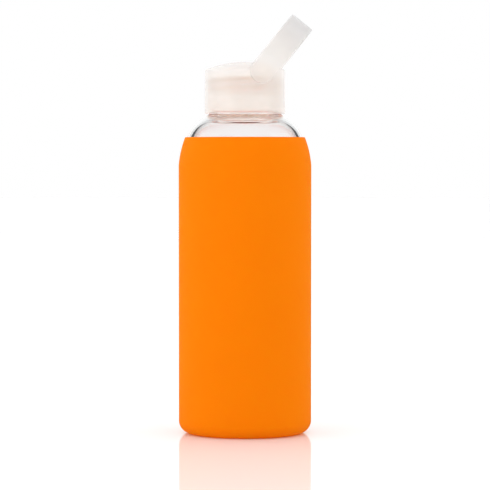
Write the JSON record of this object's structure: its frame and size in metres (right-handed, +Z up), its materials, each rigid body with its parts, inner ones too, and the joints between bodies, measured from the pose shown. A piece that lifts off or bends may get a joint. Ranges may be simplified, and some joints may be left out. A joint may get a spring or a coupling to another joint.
{
  "type": "water bottle",
  "caption": "Clear glass water bottle in a full-height silicone sleeve, with a domed screw cap that has a threaded liner and a swinging carry loop.",
  "frame": {"origin": "centre of the foot, on the surface that the bottle stands on", "axes": "+Z up along the bottle's axis; +Y is the axis of the carry loop's pivots; at rest the loop leans towards +X"},
  "size_m": [0.0725, 0.072, 0.2273],
  "materials": {
    "clear_glass": "clear, polished",
    "orange_silicone": "matte",
    "frosted_plastic": "frosted, translucent",
    "loop_plastic": "frosted, translucent",
    "seal_silicone": "matte, translucent"
  },
  "bodies": {
    "bottle": {"glass_bottle": "clear_glass", "silicone_sleeve": "orange_silicone"},
    "seal": {"sealing_gasket": "seal_silicone"},
    "cap": {"cap_shell": "frosted_plastic", "cap_insert": "frosted_plastic", "pivot_pin_front": "frosted_plastic", "pivot_pin_back": "frosted_plastic"},
    "loop": {"carry_loop": "loop_plastic"}
  },
  "joints": [
    {"name": "cap_rise", "type": "slide", "parent": "bottle", "child": "seal", "axis": [0, 0, 1], "range_m": [0, 0.0254]},
    {"name": "cap_turn", "type": "hinge", "parent": "seal", "child": "cap", "pos_m": [0, 0, 0.1835], "axis": [0, 0, 1], "range_deg": [0, 2160]},
    {"name": "loop_swing", "type": "hinge", "parent": "cap", "child": "loop", "pos_m": [0.00945, 0, 0.19589], "axis": [0, -1, 0], "range_deg": [-94, 128]}
  ],
  "couplings": [
    {"joint": "cap_rise", "follows": "cap_turn", "m_per_rad": 0.00067323}
  ]
}
